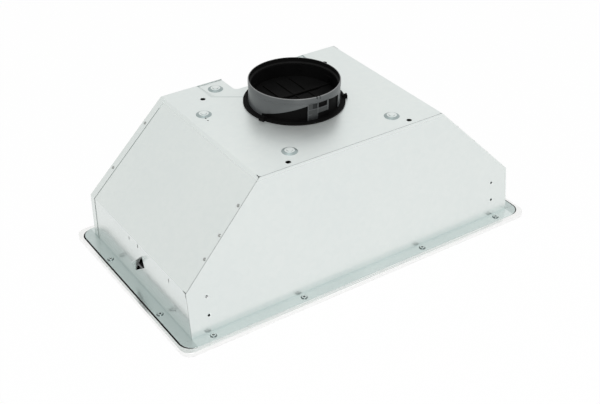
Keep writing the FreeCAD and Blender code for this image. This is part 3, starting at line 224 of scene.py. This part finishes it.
EDGE_ON = 0.5                             # and the cut edge of a sheet has less than this

# painted shade along the sunk step
STEP_SHADE = rgb(0.56, 0.61, 0.60)
# painted shade on the boss and dome slopes
BOSS_SLOPE_SHADE = rgb(0.13, 0.16, 0.16)
DOME_SLOPE_SHADE = rgb(0.34, 0.40, 0.40)
# cut edge tone, partly the bare edge and partly painted gap shade
CUT_EDGE_AND_GAP_SHADE = rgb(0.30, 0.33, 0.32)
# painted shade on hidden faces inside
INSIDE_SHADE = rgb(0.12, 0.13, 0.13)


# ---------------------------------------------------------------- materials

def galvanised(name, light, dark, rough, flange=False, shaded_cut_edges=None):
    """Zinc-coated sheet: faint crystals, rolling streaks and a slow waviness; duller on the top."""
    s = Shader(name, Metallic=0.7)
    crystal = s.cells(scale=110.0)
    cloud = s.noise(scale=4.0, detail=2.0)
    streak = s.noise(scale=1.0, detail=2.0, stretch=(5.0, 120.0, 120.0))
    tone = s.plus(s.times(crystal, 0.25), s.times(cloud, 0.75))
    shade = s.mix(s.share(tone, *NOISE_RANGE), dark, light)
    place = s.parts(s.place)
    if flange:
        # painted shade on the flanges below the wall
        shade = s.mix(s.spread(place["Z"], 1.0, 0.0, *FLANGE_FADE), shade, flange_painted_shade(s, place, cloud))
        # painted shade along the edge of the sunk step in the top
        shade = s.mix(sunk_edge_shade(s, place), shade, STEP_SHADE)
        # painted shade on the pressed slopes of the bosses and the domes
        bosses, domes = pressed_slopes(s, place)
        shade = s.mix(bosses, shade, BOSS_SLOPE_SHADE)
        shade = s.mix(domes, shade, DOME_SLOPE_SHADE)
    # cut edges darkened: partly the bare steel's own tone, partly painted shade of the gap beside them
    if shaded_cut_edges:
        shade = s.mix(cut_edges_and_gap_shade(s, shaded_cut_edges, place["Z"]), shade, CUT_EDGE_AND_GAP_SHADE)
    roughness = s.plus(s.spread(crystal, -0.012, 0.012), s.spread(place["Z"], rough * 0.55, rough, *TOP_BEND))
    roughness = s.plus(roughness, s.spread(cloud, -0.03, 0.04, *NOISE_RANGE))
    roughness = s.plus(roughness, s.spread(streak, -0.012, 0.012, *NOISE_RANGE))
    waves = s.noise(scale=3.0, detail=0.0)
    normal = s.bump(waves, distance=1.6 * MM, strength=0.25, under=s.soft_edges(0.7 * MM))
    return s.set(Base_Color=shade, Roughness=roughness, Normal=normal).material


def flange_painted_shade(s, place, cloud):
    """Painted shade on the flanges: a darker tone in random patches, darker still at both sides."""
    flange_shade = s.mix(s.share(cloud, *NOISE_RANGE), rgb(0.665, 0.735, 0.725), rgb(0.72, 0.785, 0.775))
    return s.mix(s.share(s.size(place["X"]), *SIDE_FLANGE), flange_shade, rgb(0.53, 0.60, 0.59))


def pressed_slopes(s, place):
    """The short slopes of the bosses on the flanges, and those of the domes and the step on the top, that get
    painted shade.
    """
    tilt = s.size(s.facing()["Z"])
    least, most = SLOPE_TILT
    slanted = s.times(s.below(tilt, most), s.above(tilt, least))
    across = s.size(place["X"])
    beyond = s.larger(s.minus(across, BOSS_X), s.minus(s.size(place["Y"]), BOSS_Y))
    flange = s.times(s.above(beyond, 0.0), s.below(place["Z"], BOSS_HIGH))
    top = s.times(s.above(place["Z"], TOP_BEND[0]), s.below(across, TOP_HALF))
    return s.times(slanted, flange), s.times(slanted, top)


def sunk_edge_shade(s, place):
    """A narrow band of painted shade along the step round the sunk field in the top."""
    across = s.size(place["X"])
    side = s.minus(across, SUNK_HALF)
    front = s.minus(SUNK_FRONT, place["Y"])
    slant = s.minus(s.times(across, SUNK_SLANT_X), s.times(place["Y"], SUNK_SLANT_Y))
    off = s.size(s.larger(s.larger(side, front), s.plus(slant, SUNK_CORNER)))
    return s.times(s.spread(off, 0.75, 0.0, 0.0, SUNK_BAND), s.above(place["Z"], NEAR_TOP))


def cut_edges_and_gap_shade(s, kind, height):
    """Where the sheet was cut through its zinc, darkened partly as its bare edge and partly as painted shade
    of the gap beside it: round the leaning plate, or the front ends of the laps.
    """
    facing = s.facing()["Y"]
    if kind == "lap":
        return s.times(s.below(facing, -SQUARE_ON), s.below(height, NEAR_TOP))
    return s.times(s.below(s.size(facing), EDGE_ON), s.above(height, PLATE_LOW))


def brushed(name, light, dark, rough, along=(6.0, 700.0, 700.0), edge=0.5 * MM, inside=None, sides=False):
    """Brushed metal with its grain along the sheet; hidden faces below the inside height get painted shade.
    """
    s = Shader(name, Metallic=1.0)
    grain = s.noise(scale=1.0, detail=4.0, stretch=along, roughness=0.6)
    cloud = s.noise(scale=9.0, detail=2.0)
    shade = s.mix(s.share(grain, *GRAIN_RANGE), dark, light)
    # painted shade on the hidden faces low inside
    if inside:
        facing = s.facing()
        hidden = s.above(facing["Z"], SQUARE_ON)
        if sides:
            hidden = s.larger(hidden, s.above(s.size(facing["X"]), SQUARE_ON))
        hidden = s.times(hidden, s.below(s.parts(s.place)["Z"], inside))
        shade = s.mix(hidden, shade, INSIDE_SHADE)
    roughness = s.plus(s.spread(grain, rough - 0.05, rough + 0.06, *GRAIN_RANGE),
                       s.spread(cloud, -0.03, 0.03, *NOISE_RANGE))
    normal = s.bump(grain, distance=0.04 * MM, strength=0.6, under=s.soft_edges(edge))
    return s.set(Base_Color=shade, Roughness=roughness, Normal=normal).material


def moulded(name, light, dark, rough, grain=0.04 * MM, coat=0.0, shine=0.5):
    """Moulded plastic with a fine spark texture and slow changes of gloss."""
    s = Shader(name, Coat_Weight=coat, Coat_Roughness=0.08, Specular_IOR_Level=shine)
    spark = s.noise(scale=1500.0, detail=2.0)
    cloud = s.noise(scale=22.0, detail=3.0)
    shade = s.mix(s.share(cloud, *GRAIN_RANGE), dark, light)
    roughness = s.plus(s.spread(cloud, rough - 0.06, rough + 0.08, *NOISE_RANGE),
                       s.spread(spark, -0.03, 0.03, *NOISE_RANGE))
    normal = s.bump(spark, distance=grain, strength=0.6, under=s.soft_edges(0.5 * MM))
    return s.set(Base_Color=shade, Roughness=roughness, Normal=normal).material


def collar_moulding(name):
    """Black moulding: a painted grey sheen on the outer band, a painted highlight on the rim, painted shade
    in the framed blocks and near-black painted shade on the inside.
    """
    s = Shader(name)
    place = s.parts(s.place)
    off = s.minus(place["Y"], COLLAR_Y)
    reach = s.plus(s.times(place["X"], place["X"]), s.times(off, off))
    outside = s.share(reach, *squared(*COLLAR_BAND))
    outward = s.plus(s.times(place["X"], math.cos(BLOCK_TURN)), s.times(off, math.sin(BLOCK_TURN)))
    block = s.share(s.size(outward), *BLOCK_OUT)
    low = s.spread(place["Z"], 1.0, 0.0, *BLOCK_HIGH)
    sunk = s.spread(reach, 1.0, 0.0, *squared(*BLOCK_SUNK))
    framed = s.times(s.times(block, low), sunk)
    rim = s.times(s.share(reach, *squared(*COLLAR_RIM)), s.above(place["Z"], RIM_LOW))
    cloud = s.noise(scale=18.0, detail=3.0)
    scuffs = s.noise(scale=1.0, detail=3.0, stretch=(40.0, 40.0, 900.0))
    sheen = s.mix(s.share(cloud, *NOISE_RANGE), rgb(0.100, 0.107, 0.110), rgb(0.078, 0.084, 0.087))
    # painted sheen on the outer band, near-black painted shade inside, painted shade in the block's sunk
    # faces and a painted highlight on the rim
    shade = s.mix(outside, rgb(0.003, 0.003, 0.003), sheen)
    shade = s.mix(framed, shade, rgb(0.026, 0.028, 0.029))
    shade = s.mix(rim, shade, rgb(0.20, 0.205, 0.205))
    roughness = s.plus(s.spread(outside, 0.62, 0.34), s.spread(scuffs, -0.05, 0.05, *NOISE_RANGE))
    spark = s.noise(scale=1500.0, detail=2.0)
    normal = s.bump(spark, distance=0.03 * MM, strength=0.5, under=s.soft_edges(0.5 * MM))
    shine = s.spread(outside, 0.12, 0.55)
    return s.set(Base_Color=shade, Roughness=roughness, Specular_IOR_Level=shine, Normal=normal).material


def frosted_glass(name):
    """Lamp glass with a fine ripple that blurs what lies behind it."""
    s = Shader(name, Transmission_Weight=0.75, IOR=1.49)
    shade = s.mix(s.noise(scale=40.0, detail=2.0), rgb(0.93, 0.95, 0.95), rgb(0.85, 0.88, 0.89))
    roughness = s.spread(s.cells(scale=260.0), 0.28, 0.42)
    normal = s.bump(s.noise(scale=420.0, detail=1.0), distance=0.2 * MM, strength=0.5)
    return s.set(Base_Color=shade, Roughness=roughness, Normal=normal).material


ZINC = {"light": rgb(0.785, 0.825, 0.81), "dark": rgb(0.755, 0.80, 0.79), "rough": 0.38, "flange": True}
sheet_metal = galvanised("galvanised_sheet", **ZINC)
front_metal = galvanised("galvanised_front", **ZINC, shaded_cut_edges="plate")
back_metal = galvanised("galvanised_back", **ZINC, shaded_cut_edges="lap")
inner_metal = galvanised("inner_galvanised_sheet", rgb(0.72, 0.76, 0.75), rgb(0.62, 0.66, 0.65), rough=0.36)

stainless = brushed("brushed_stainless", rgb(0.97, 0.97, 0.965), rgb(0.92, 0.92, 0.915), rough=0.24,
                    inside=8.5 * MM)
filter_metal = brushed("filter_aluminium", rgb(0.83, 0.84, 0.85), rgb(0.70, 0.71, 0.72), rough=0.28,
                       along=(700.0, 7.0, 700.0), inside=20.0 * MM, sides=True)
zinc = brushed("zinc_plated_steel", rgb(0.72, 0.73, 0.71), rgb(0.58, 0.59, 0.58), rough=0.33,
               along=(60.0, 60.0, 400.0), edge=0.3 * MM)
bright_metal = brushed("bright_rim_metal", rgb(0.86, 0.86, 0.87), rgb(0.80, 0.80, 0.81), rough=0.10,
                       along=(90.0, 90.0, 90.0))
can_metal = brushed("spun_aluminium", rgb(0.74, 0.74, 0.75), rgb(0.62, 0.62, 0.63), rough=0.34,
                    along=(60.0, 60.0, 900.0))
rivet_metal = brushed("rivet_steel", rgb(0.46, 0.47, 0.46), rgb(0.30, 0.31, 0.30), rough=0.30,
                      along=(60.0, 60.0, 60.0), edge=0.3 * MM)

black_plastic = moulded("black_moulding", rgb(0.034, 0.036, 0.038), rgb(0.022, 0.023, 0.025), rough=0.40)
# near-black copy of the black moulding: painted shade on the damper flaps, the pin and the collar base
shaded_plastic = moulded("shaded_inner_moulding", rgb(0.004, 0.004, 0.004), rgb(0.002, 0.002, 0.002), rough=0.60,
                       shine=0.06)
black_gloss = moulded("black_gloss_moulding", rgb(0.032, 0.032, 0.033), rgb(0.020, 0.020, 0.021), rough=0.20,
                      grain=0.01 * MM, coat=0.3)
grey_plastic = moulded("grey_moulding", rgb(0.20, 0.205, 0.21), rgb(0.15, 0.155, 0.16), rough=0.45)
white_plastic = moulded("white_moulding", rgb(0.80, 0.79, 0.75), rgb(0.70, 0.69, 0.65), rough=0.42)
motor_enamel = moulded("motor_enamel", rgb(0.05, 0.05, 0.055), rgb(0.03, 0.03, 0.033), rough=0.30,
                       grain=0.06 * MM, coat=0.2)
phosphor = moulded("lamp_phosphor", rgb(0.85, 0.66, 0.16), rgb(0.78, 0.58, 0.12), rough=0.38)
collar_plastic = collar_moulding("collar_moulding")
lens_glass = frosted_glass("frosted_lamp_glass")

FINISHES = {
    "galvanised": sheet_metal, "stainless": stainless, "zinc_fastener": zinc, "black_moulding": black_plastic,
    "black_gloss": black_gloss, "grey_plastic": grey_plastic, "white_plastic": white_plastic,
    "motor_paint": motor_enamel, "filter_metal": filter_metal, "bright_rim": bright_metal,
    "lamp_glass": lens_glass, "lamp_metal": can_metal,
}
INSIDE = {"scroll_wrapper", "scroll_side_left", "scroll_side_right", "inlet_ring_left", "inlet_ring_right",
          "blower_wheel", "motor_bracket", "motor_arms", "capacitor_clip", "wiring_box", "wiring_cover"}
OWN = {"damper_flap_front": shaded_plastic, "damper_flap_back": shaded_plastic, "damper_pin": shaded_plastic,
       "collar_base": shaded_plastic, "collar_ring": collar_plastic,
       "front_panel": front_metal, "back_panel": back_metal, "slope_rivets": rivet_metal}
slot_of = {part["node"]: part["material_slot"] for part in frame["record"]["subparts"]}
for name, node in frame["nodes"].items():
    finish = inner_metal if name in INSIDE else OWN.get(name, FINISHES[slot_of[name]])
    for slot in node.material_slots:
        slot.material = finish


# ---------------------------------------------------------------- small pieces that only the eye needs

MARK_RISE = 0.12 * MM  # how far a mark stands out of its button
MARK_ROOT = 0.03 * MM  # and how far it reaches in
SHARP_ANGLE = math.radians(35)


def spot(node):
    """The middle of a node's box in x and y, and the heights of its underside and its top."""
    low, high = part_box(node)
    return (low[0] + high[0]) / 2, (low[1] + high[1]) / 2, low[2], high[2]


def turned(shape, centre, profile, steps=24):
    """Sweep (radius, height) points round the upright axis through the centre."""
    x, y, z = centre
    rings = []
    for radius, height in profile:
        if radius == 0:
            rings.append([shape.verts.new((x, y, z + height))])
            continue
        turns = [2 * math.pi * k / steps for k in range(steps)]
        rings.append([shape.verts.new((x + radius * math.cos(turn), y + radius * math.sin(turn), z + height))
                      for turn in turns])
    for first, second in zip(rings, rings[1:]):
        for k in range(steps):
            corners = [first[k % len(first)], first[(k + 1) % len(first)],
                       second[(k + 1) % len(second)], second[k % len(second)]]
            shape.faces.new(list(dict.fromkeys(corners)))


def arc_bar(shape, centre, inner, outer, start, stop, low, high, steps):
    """Raised part of a ring between two angles in degrees."""
    x, y = centre
    rows = []
    for k in range(steps + 1):
        turn = math.radians(start + (stop - start) * k / steps)
        rows.append([shape.verts.new((x + radius * math.cos(turn), y + radius * math.sin(turn), z))
                     for radius, z in ((inner, low), (outer, low), (outer, high), (inner, high))])
    for first, second in zip(rows, rows[1:]):
        for k in range(4):
            shape.faces.new((first[k], first[(k + 1) % 4], second[(k + 1) % 4], second[k]))
    shape.faces.new(rows[0])
    shape.faces.new(rows[-1][::-1])


def bar(shape, x0, x1, y0, y1, low, high):
    ring = [(x0, y0), (x1, y0), (x1, y1), (x0, y1)]
    lower = [shape.verts.new((x, y, low)) for x, y in ring]
    upper = [shape.verts.new((x, y, high)) for x, y in ring]
    shape.faces.new(lower[::-1])
    shape.faces.new(upper)
    for k in range(4):
        shape.faces.new((lower[k], lower[(k + 1) % 4], upper[(k + 1) % 4], upper[k]))


def add_piece(name, shape, body, material):
    bmesh.ops.recalc_face_normals(shape, faces=shape.faces)
    mesh = bpy.data.meshes.new(name)
    shape.to_mesh(mesh)
    shape.free()
    mesh.materials.append(material)
    mesh.shade_smooth()
    mesh.set_sharp_from_angle(angle=SHARP_ANGLE)
    piece = bpy.data.objects.new(name, mesh)
    bpy.context.collection.objects.link(piece)
    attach(piece, body)


def lamp_mark(shape, centre, low, high):
    """A small ring with rays round it."""
    rays, half_angle = 8, 4
    arc_bar(shape, centre, 1.3 * MM, 1.7 * MM, 0, 360, low, high, steps=32)
    for ray in range(rays):
        turn = 360 // rays * ray
        arc_bar(shape, centre, 2.3 * MM, 3.5 * MM, turn - half_angle, turn + half_angle, low, high, steps=2)


def off_mark(shape, centre, low, high):
    """A ring that is open at the back, with a short bar in the gap."""
    x, y = centre
    half_stroke = 0.25 * MM
    arc_bar(shape, centre, 2.5 * MM, 3.0 * MM, 120, 420, low, high, steps=40)
    bar(shape, x - half_stroke, x + half_stroke, y + 0.4 * MM, y + 3.6 * MM, low, high)


def dots_mark(shape, centre, low, count):
    """One to three round dots in a row."""
    x, y = centre
    pitch, base = 3.2 * MM, MARK_RISE + MARK_ROOT
    dot = [(0, 0), (0.75 * MM, 0), (0.9 * MM, 0.05 * MM), (0.9 * MM, base), (0, base)]
    for step in range(count):
        turned(shape, (x + (step - (count - 1) / 2) * pitch, y, low), dot)


def add_button_marks():
    """Raised marks on the five buttons: a lamp, an open ring with a bar, and one, two and three dots."""
    speeds = ("low", "medium", "high")
    for word in ("light", "off") + speeds:
        x, y, face, _ = spot(f"{word}_button")
        low, high = face - MARK_RISE, face + MARK_ROOT
        shape = bmesh.new()
        if word == "light":
            lamp_mark(shape, (x, y), low, high)
        elif word == "off":
            off_mark(shape, (x, y), low, high)
        else:
            dots_mark(shape, (x, y), low, speeds.index(word) + 1)
        add_piece(f"{word}_mark", shape, f"{word}_key", white_plastic)


def add_lamp_boards():
    """Light board on top of each lamp's bezel: a white disc with a ring of chips and one in the middle."""
    board = [(0, 0), (24 * MM, 0), (24.6 * MM, 0.6 * MM), (24.6 * MM, 1.4 * MM), (0, 1.4 * MM)]
    root = 0.02 * MM
    chip = [(0, -1.5 * MM), (1.2 * MM, -1.3 * MM), (1.9 * MM, -0.7 * MM), (1.9 * MM, root), (0, root)]
    ring, count = 15 * MM, 8
    turns = [2 * math.pi * k / count for k in range(count)]
    places = [(0.0, 0.0)] + [(ring * math.cos(turn), ring * math.sin(turn)) for turn in turns]
    for word in ("left", "right"):
        x, y, _, top = spot(f"lamp_bezel_{word}")
        disc = bmesh.new()
        turned(disc, (x, y, top), board, steps=48)
        add_piece(f"lamp_board_{word}", disc, "hood", white_plastic)
        chips = bmesh.new()
        for dx, dy in places:
            turned(chips, (x + dx, y + dy, top), chip)
        add_piece(f"lamp_chips_{word}", chips, "hood", phosphor)


def add_frame_rivets():
    """Domed rivets through the mitred corners of both filter frames, clear of the hook at the back."""
    root, inset, hook = 0.02 * MM, 8.0 * MM, 3.4 * MM
    head = [(0, -0.95 * MM), (1.0 * MM, -0.85 * MM), (1.9 * MM, -0.5 * MM), (2.4 * MM, root), (0, root)]
    for word in ("left", "right"):
        (left, front, face), (right, back, _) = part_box(f"filter_frame_{word}")
        shape = bmesh.new()
        for x in (left + inset, right - inset):
            for y in (front + inset, back - hook - inset):
                turned(shape, (x, y, face), head)
        add_piece(f"frame_rivets_{word}", shape, f"filter_{word}", zinc)


def add_corner_skins():
    """Thin rounded skins that close the sheet at the trim's four corners."""
    half_width, half_depth = cad_box[1][:2]
    radius, thick, proud = 20 * MM, 0.5 * MM, 0.05 * MM
    low, high = 0.5 * MM, 8.7 * MM
    for word, side, start in (("front_left", (-1, -1), 180), ("front_right", (1, -1), 270),
                              ("back_right", (1, 1), 0), ("back_left", (-1, 1), 90)):
        shape = bmesh.new()
        centre = (side[0] * (half_width - radius), side[1] * (half_depth - radius))
        arc_bar(shape, centre, radius - thick, radius + proud, start, start + 90, low, high, steps=24)
        add_piece(f"corner_skin_{word}", shape, "hood", stainless)


def add_rim_inserts():
    """Small inserts level with the collar's rim at its back."""
    inner, outer = 86.3 * MM, 88.3 * MM
    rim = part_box("collar_ring")[1][2] - 0.3 * MM
    shape = bmesh.new()
    for start, stop, low in ((87.9, 89.1, 311.4 * MM), (83.4, 85.1, 312.9 * MM)):
        arc_bar(shape, (0.0, COLLAR_Y), inner, outer, start, stop, low, rim, steps=3)
    add_piece("rim_inserts", shape, "hood", collar_plastic)


add_button_marks()
add_lamp_boards()
add_frame_rivets()
add_corner_skins()
add_rim_inserts()


# ---------------------------------------------------------------- stage, light and camera

WHITE = rgb(1.0, 1.0, 1.0)


def make_floor():
    """A pale floor: almost white to the camera but for the object's shadow, and bright in mirror images."""
    reach, to_camera, to_mirrors = 6.0, 0.965, 0.72
    mesh = bpy.data.meshes.new("floor")
    corners = [(-reach, -reach, 0), (reach, -reach, 0), (reach, reach, 0), (-reach, reach, 0)]
    mesh.from_pydata(corners, [], [(0, 1, 2, 3)])
    floor = bpy.data.objects.new("floor", mesh)
    bpy.context.collection.objects.link(floor)
    s = Shader("studio_floor", Roughness=0.6)
    s.set(Base_Color=s.mix(s.noise(scale=3.0, detail=1.0), rgb(0.93, 0.93, 0.93), rgb(0.90, 0.90, 0.90)))
    glow = s.feed(s.node("ShaderNodeEmission"), Color=WHITE, Strength=1.0)
    rays = s.node("ShaderNodeLightPath").outputs
    mirrored = s.larger(rays["Is Glossy Ray"], rays["Is Transmission Ray"])
    glowing = s.plus(s.times(rays["Is Camera Ray"], to_camera), s.times(mirrored, to_mirrors))
    seen = s.blend(glowing, s.surface, glow)
    s.feed(s.tree.nodes["Material Output"], Surface=seen.outputs[0])
    mesh.materials.append(s.material)


def make_world():
    """White to the camera and through glass; its light and mirror image dim towards the upper back left."""
    strength, dimmed, dim_way = 0.72, rgb(0.87, 0.875, 0.865), (-0.55, 0.62, 0.56)
    world = bpy.data.worlds.new("studio")
    bpy.context.scene.world = world
    world.use_nodes = True
    n = Nodes(world.node_tree)
    way = n.node("ShaderNodeTexCoord").outputs["Generated"]
    along = n.join(n.node("ShaderNodeVectorMath", operation="DOT_PRODUCT"), way, dim_way).outputs["Value"]
    tone = n.mix(n.share(along, -0.2, 1.0), WHITE, dimmed)
    lit = n.feed(n.tree.nodes["Background"], Color=tone, Strength=strength)
    mirrored = n.feed(n.node("ShaderNodeBackground"), Color=tone)
    white = n.feed(n.node("ShaderNodeBackground"), Color=WHITE)
    rays = n.node("ShaderNodeLightPath").outputs
    clear = n.larger(rays["Is Camera Ray"], rays["Is Transmission Ray"])
    seen = n.blend(clear, n.blend(rays["Is Glossy Ray"], lit, mirrored), white)
    n.feed(n.tree.nodes["World Output"], Surface=seen.outputs[0])


def add_softbox(name, place, target, side, power, colour=(1.0, 1.0, 1.0)):
    light = bpy.data.lights.new(name, "AREA")
    light.shape = "RECTANGLE"
    light.size = side
    light.size_y = side
    light.energy = power
    light.color = colour
    holder = bpy.data.objects.new(name, light)
    bpy.context.collection.objects.link(holder)
    holder.location = place
    holder.rotation_euler = (Vector(target) - Vector(place)).to_track_quat("-Z", "Y").to_euler()


def make_camera():
    """The camera found by fitting the housing's edges: azimuth, elevation, roll, distance and offset."""
    azimuth, elevation, roll = (math.radians(angle) for angle in (-34.4898, 33.4523, 0.4179))
    distance, side, rise = 2.2180982, 0.0086668, -0.0387084
    lift = 10.0 * MM
    focal_px, width_px, sensor = 1095.2564, 600.0, 36.0
    level = math.cos(elevation)
    back = Vector((math.sin(azimuth) * level, -math.cos(azimuth) * level, math.sin(elevation)))
    right = Vector((math.cos(azimuth), math.sin(azimuth), 0.0))
    up = back.cross(right)
    turned_right = right * math.cos(roll) + up * math.sin(roll)
    turned_up = up * math.cos(roll) - right * math.sin(roll)
    place = back * distance - turned_right * side - turned_up * rise + Vector((0.0, 0.0, lift))
    data = bpy.data.cameras.new("camera")
    data.sensor_width = sensor
    data.lens = focal_px * sensor / width_px
    camera = bpy.data.objects.new("camera", data)
    bpy.context.collection.objects.link(camera)
    matrix = camera.matrix_world
    for column, axis in enumerate((turned_right, turned_up, back)):
        for row in range(3):
            matrix[row][column] = axis[row]
    matrix.translation = place
    camera.matrix_world = matrix
    bpy.context.scene.camera = camera


make_floor()
make_world()
add_softbox("key", (-0.9, -2.4, 2.5), target=(0.0, 0.0, 0.15), side=1.2, power=26.0, colour=(1.0, 0.99, 0.97))
add_softbox("top", (-0.6, -0.2, 3.4), target=(0.0, 0.0, 0.2), side=1.6, power=18.0)
make_camera()
bpy.context.scene.view_settings.view_transform = "Standard"
